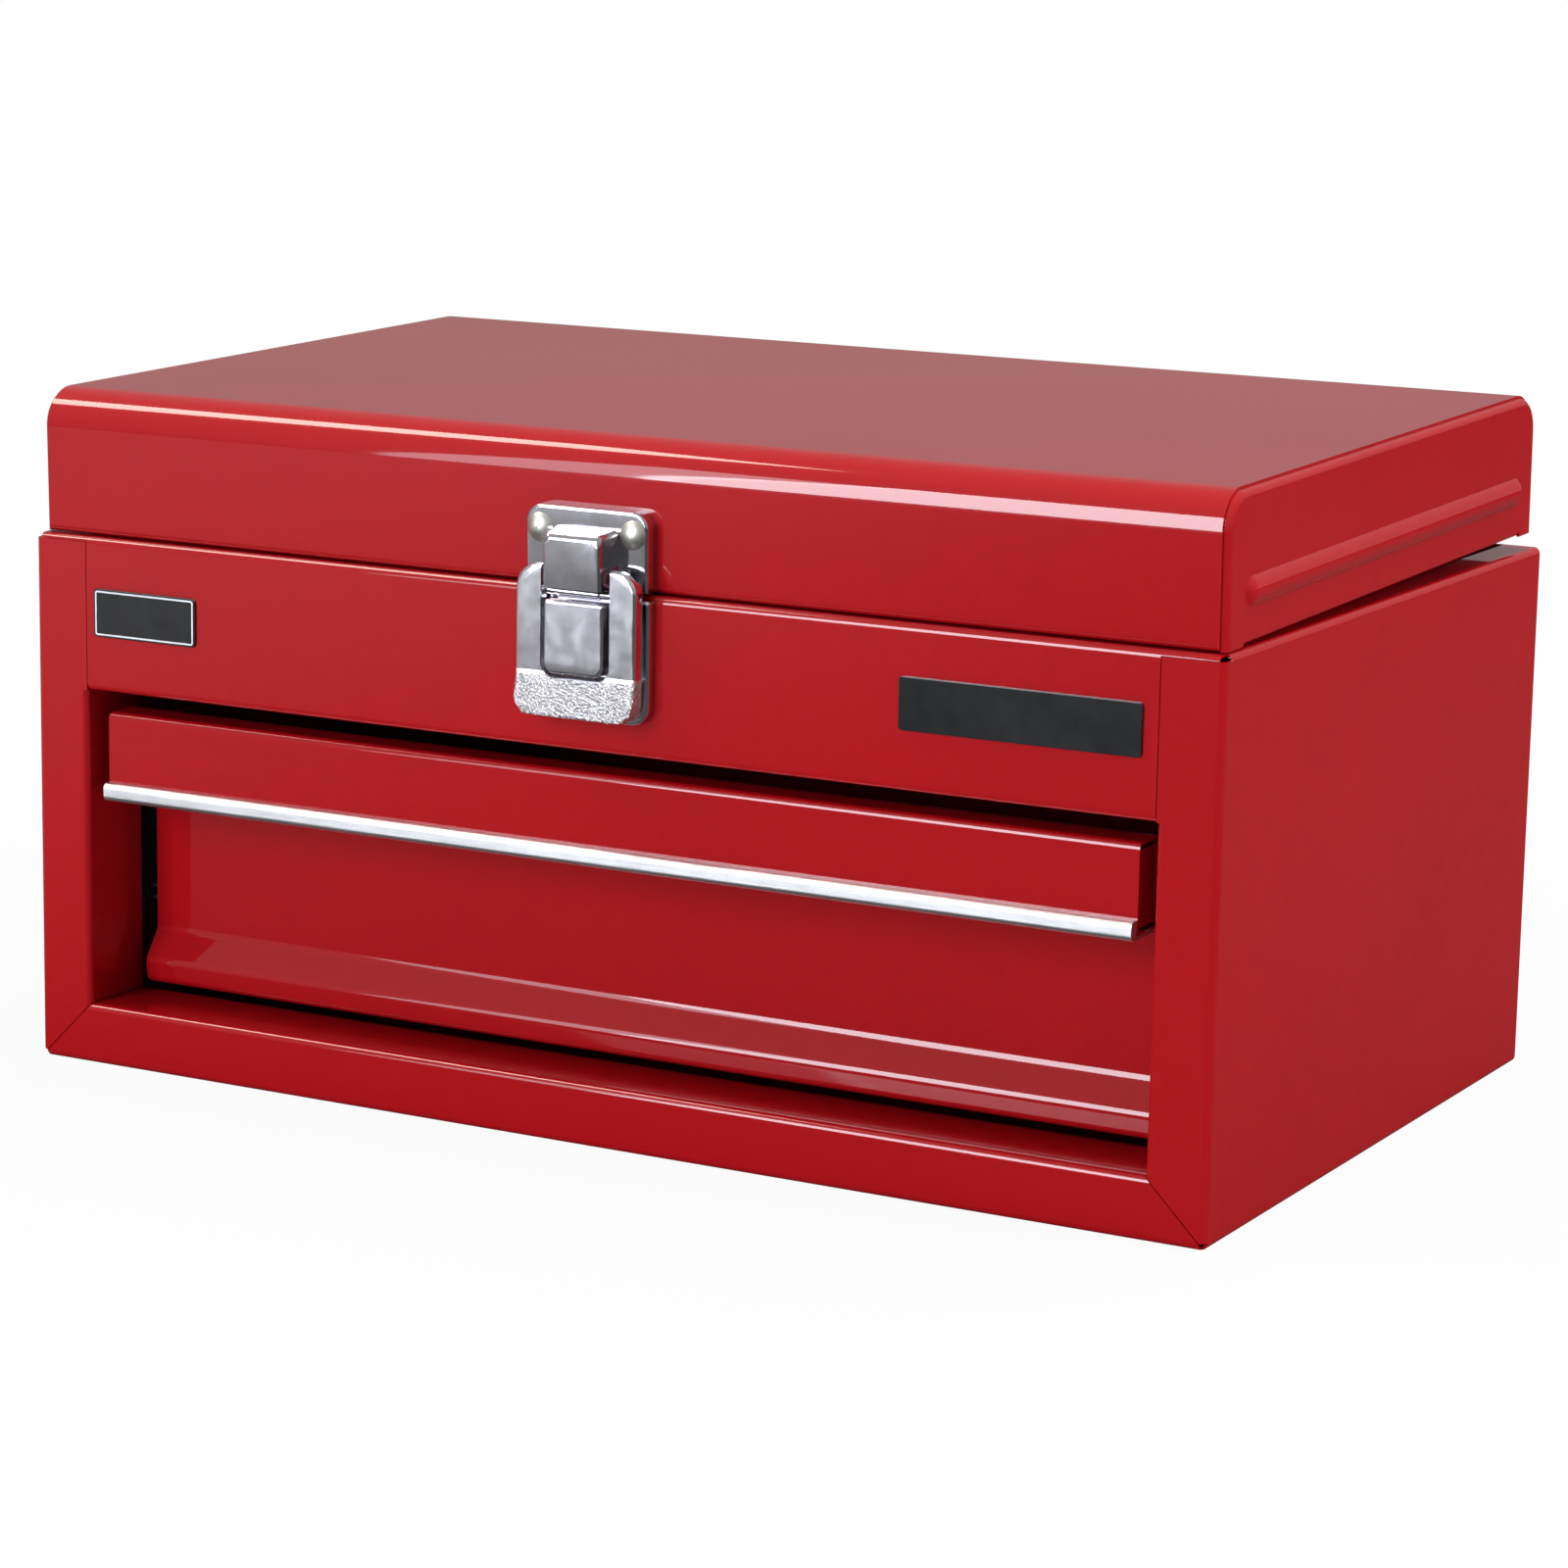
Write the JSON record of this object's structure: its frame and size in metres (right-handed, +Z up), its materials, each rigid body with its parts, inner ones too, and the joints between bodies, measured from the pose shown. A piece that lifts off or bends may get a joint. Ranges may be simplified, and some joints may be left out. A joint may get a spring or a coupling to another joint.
{
  "type": "portable tool box with drawer",
  "caption": "Portable steel tool box: folded red case, hinged lid over an open compartment, a drawer on ball-bearing slides below, and a sprung catch at the front.",
  "frame": {"origin": "middle of the flat underside, on the floor", "axes": "+X to the right seen from the front, -Y out of the front, +Z up"},
  "size_m": [0.411, 0.2631, 0.2212],
  "materials": {
    "red_paint": "smooth glossy baked paint with a faint orange peel",
    "chrome_plate": "bright plating over pressed steel",
    "nickel_plate": "satin nickel rivet heads",
    "zinc_plate": "bright zinc plate with fine drawing lines",
    "alloy_pull": "satin anodised extrusion with fine lines along it",
    "bearing_steel": "polished hardened steel"
  },
  "bodies": {
    "case": {"case_wrapper": "red_paint", "back_panel": "red_paint", "front_panel": "red_paint", "compartment_floor": "red_paint", "slide_bracket_left": "red_paint", "slide_bracket_right": "red_paint", "slide_outer_left": "zinc_plate", "slide_outer_right": "zinc_plate", "slide_rivets": "zinc_plate", "hinge_leaf_case": "zinc_plate", "hinge_pin": "zinc_plate", "latch_base": "chrome_plate", "latch_boss": "chrome_plate", "latch_base_rivets": "nickel_plate"},
    "lid": {"lid_wrap": "red_paint", "lid_end_left": "red_paint", "lid_end_right": "red_paint", "hinge_leaf_lid": "zinc_plate", "latch_keeper": "chrome_plate", "keeper_rivets": "nickel_plate"},
    "drawer": {"drawer_tray": "red_paint", "drawer_front": "red_paint", "drawer_pull": "alloy_pull", "slide_inner_left": "zinc_plate", "slide_inner_right": "zinc_plate", "drawer_rivets": "zinc_plate"},
    "retainer_left": {"ball_retainer_left": "zinc_plate", "balls_left": "bearing_steel"},
    "retainer_right": {"ball_retainer_right": "zinc_plate", "balls_right": "bearing_steel"},
    "catch": {"latch_lever": "chrome_plate", "latch_hook": "chrome_plate", "latch_pin": "zinc_plate"}
  },
  "joints": [
    {"name": "lid_hinge", "type": "hinge", "parent": "case", "child": "lid", "pos_m": [0, 0.12225, 0.17375], "axis": [-1, 0, 0], "range_deg": [0, 118]},
    {"name": "drawer_slide", "type": "slide", "parent": "case", "child": "drawer", "axis": [0, -1, 0], "range_m": [0, 0.14]},
    {"name": "retainer_left_slide", "type": "slide", "parent": "case", "child": "retainer_left", "axis": [0, -1, 0], "range_m": [0, 0.07]},
    {"name": "retainer_right_slide", "type": "slide", "parent": "case", "child": "retainer_right", "axis": [0, -1, 0], "range_m": [0, 0.07]},
    {"name": "catch_pivot", "type": "hinge", "parent": "case", "child": "catch", "pos_m": [0, -0.1316, 0.1709], "axis": [-1, 0, 0], "range_deg": [0, 25]}
  ],
  "couplings": [
    {"joint": "retainer_left_slide", "follows": "drawer_slide", "ratio": 0.5},
    {"joint": "retainer_right_slide", "follows": "drawer_slide", "ratio": 0.5}
  ]
}
